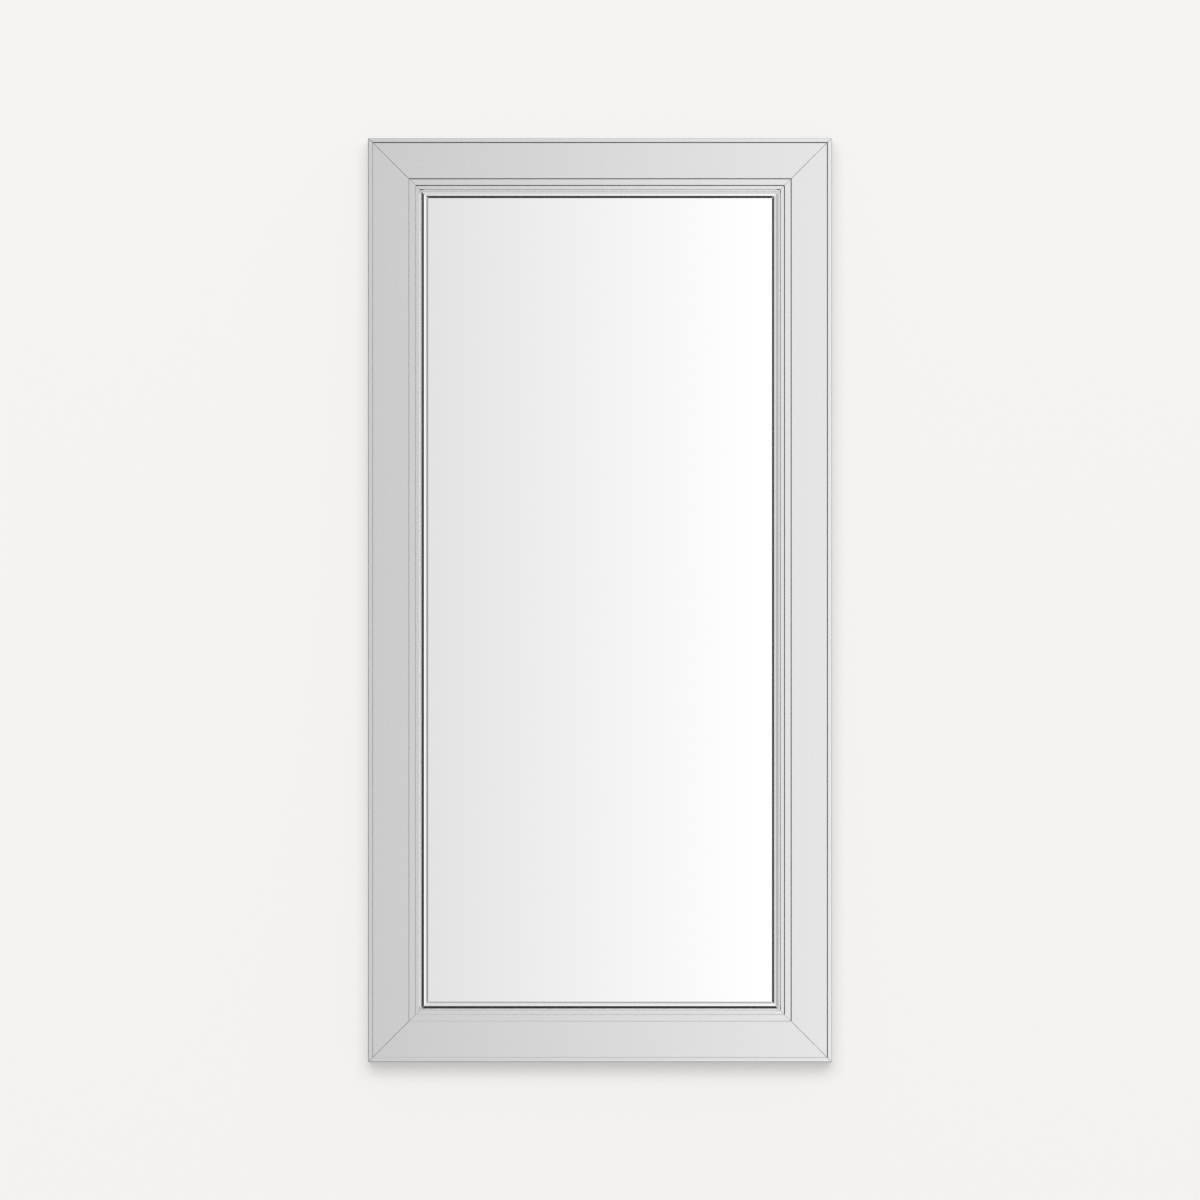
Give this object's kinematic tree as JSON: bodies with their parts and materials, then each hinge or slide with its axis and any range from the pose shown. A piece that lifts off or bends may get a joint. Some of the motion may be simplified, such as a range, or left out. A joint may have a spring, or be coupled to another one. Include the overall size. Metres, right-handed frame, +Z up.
{
  "type": "full-length wall mirror",
  "caption": "Tall rectangular mirror in a wide stepped, mitred metal frame with a raised inner bead, hung on a wall cleat.",
  "frame": {"origin": "middle of the wall cleat's screw line, on the wall plane, 52 mm below the frame's top edge", "axes": "+Z up along the mirror's height, +Y into the wall, so the mirror faces -Y, +X to the right seen from the front"},
  "size_m": [0.765, 0.042, 1.524],
  "materials": {
    "frame_aluminium": "satin brushed, anodised",
    "bead_metal": "polished",
    "tape_foam": "matte foam",
    "screw_steel": "zinc plated",
    "cast_key": "as cast",
    "block_rubber": "matte",
    "button_steel": "zinc plated",
    "cleat_aluminium": "mill finish",
    "pad_felt": "felt",
    "mirror_glass": "silvered float glass",
    "film_plastic": "thin safety film",
    "hardboard": "hardboard, smooth side out"
  },
  "bodies": {
    "wall_bracket": {"wall_cleat": "cleat_aluminium"},
    "mirror": {"backing_board": "hardboard", "bead_bottom": "bead_metal", "bead_left": "bead_metal", "bead_right": "bead_metal", "bead_top": "bead_metal", "bottom_rail": "frame_aluminium", "corner_key_bottom_left": "cast_key", "corner_key_bottom_right": "cast_key", "corner_key_screws": "screw_steel", "corner_key_top_left": "cast_key", "corner_key_top_right": "cast_key", "edge_spacers": "block_rubber", "frame_cleat": "cleat_aluminium", "frame_cleat_screws": "screw_steel", "glazing_tape_bottom": "tape_foam", "glazing_tape_left": "tape_foam", "glazing_tape_right": "tape_foam", "glazing_tape_top": "tape_foam", "left_stile": "frame_aluminium", "mirror_glass": "mirror_glass", "right_stile": "frame_aluminium", "safety_film": "film_plastic", "setting_blocks": "block_rubber", "top_rail": "frame_aluminium", "turn_button_screws": "screw_steel", "wall_pad_left_high": "pad_felt", "wall_pad_left_low": "pad_felt", "wall_pad_right_high": "pad_felt", "wall_pad_right_low": "pad_felt"},
    "turn_button_bottom_1": {"turn_button_bottom_1": "button_steel"},
    "turn_button_bottom_2": {"turn_button_bottom_2": "button_steel"},
    "turn_button_left_1": {"turn_button_left_1": "button_steel"},
    "turn_button_left_2": {"turn_button_left_2": "button_steel"},
    "turn_button_left_3": {"turn_button_left_3": "button_steel"},
    "turn_button_right_1": {"turn_button_right_1": "button_steel"},
    "turn_button_right_2": {"turn_button_right_2": "button_steel"},
    "turn_button_right_3": {"turn_button_right_3": "button_steel"},
    "turn_button_top_1": {"turn_button_top_1": "button_steel"},
    "turn_button_top_2": {"turn_button_top_2": "button_steel"}
  },
  "joints": [
    {"name": "lift_off", "type": "slide", "parent": "wall_bracket", "child": "mirror", "axis": [0, 0, 1], "range_m": [0, 0.012]},
    {"name": "turn_bottom_1_pivot", "type": "hinge", "parent": "mirror", "child": "turn_button_bottom_1", "pos_m": [0.15, -0.0174, -1.4], "axis": [0, 1, 0], "continuous": true},
    {"name": "turn_bottom_2_pivot", "type": "hinge", "parent": "mirror", "child": "turn_button_bottom_2", "pos_m": [-0.15, -0.0174, -1.4], "axis": [0, 1, 0], "continuous": true},
    {"name": "turn_left_1_pivot", "type": "hinge", "parent": "mirror", "child": "turn_button_left_1", "pos_m": [-0.3105, -0.0174, -1.17], "axis": [0, 1, 0], "continuous": true},
    {"name": "turn_left_2_pivot", "type": "hinge", "parent": "mirror", "child": "turn_button_left_2", "pos_m": [-0.3105, -0.0174, -0.71], "axis": [0, 1, 0], "continuous": true},
    {"name": "turn_left_3_pivot", "type": "hinge", "parent": "mirror", "child": "turn_button_left_3", "pos_m": [-0.3105, -0.0174, -0.25], "axis": [0, 1, 0], "continuous": true},
    {"name": "turn_right_1_pivot", "type": "hinge", "parent": "mirror", "child": "turn_button_right_1", "pos_m": [0.3105, -0.0174, -0.25], "axis": [0, 1, 0], "continuous": true},
    {"name": "turn_right_2_pivot", "type": "hinge", "parent": "mirror", "child": "turn_button_right_2", "pos_m": [0.3105, -0.0174, -0.71], "axis": [0, 1, 0], "continuous": true},
    {"name": "turn_right_3_pivot", "type": "hinge", "parent": "mirror", "child": "turn_button_right_3", "pos_m": [0.3105, -0.0174, -1.17], "axis": [0, 1, 0], "continuous": true},
    {"name": "turn_top_1_pivot", "type": "hinge", "parent": "mirror", "child": "turn_button_top_1", "pos_m": [-0.15, -0.0174, -0.02], "axis": [0, 1, 0], "continuous": true},
    {"name": "turn_top_2_pivot", "type": "hinge", "parent": "mirror", "child": "turn_button_top_2", "pos_m": [0.15, -0.0174, -0.02], "axis": [0, 1, 0], "continuous": true}
  ]
}
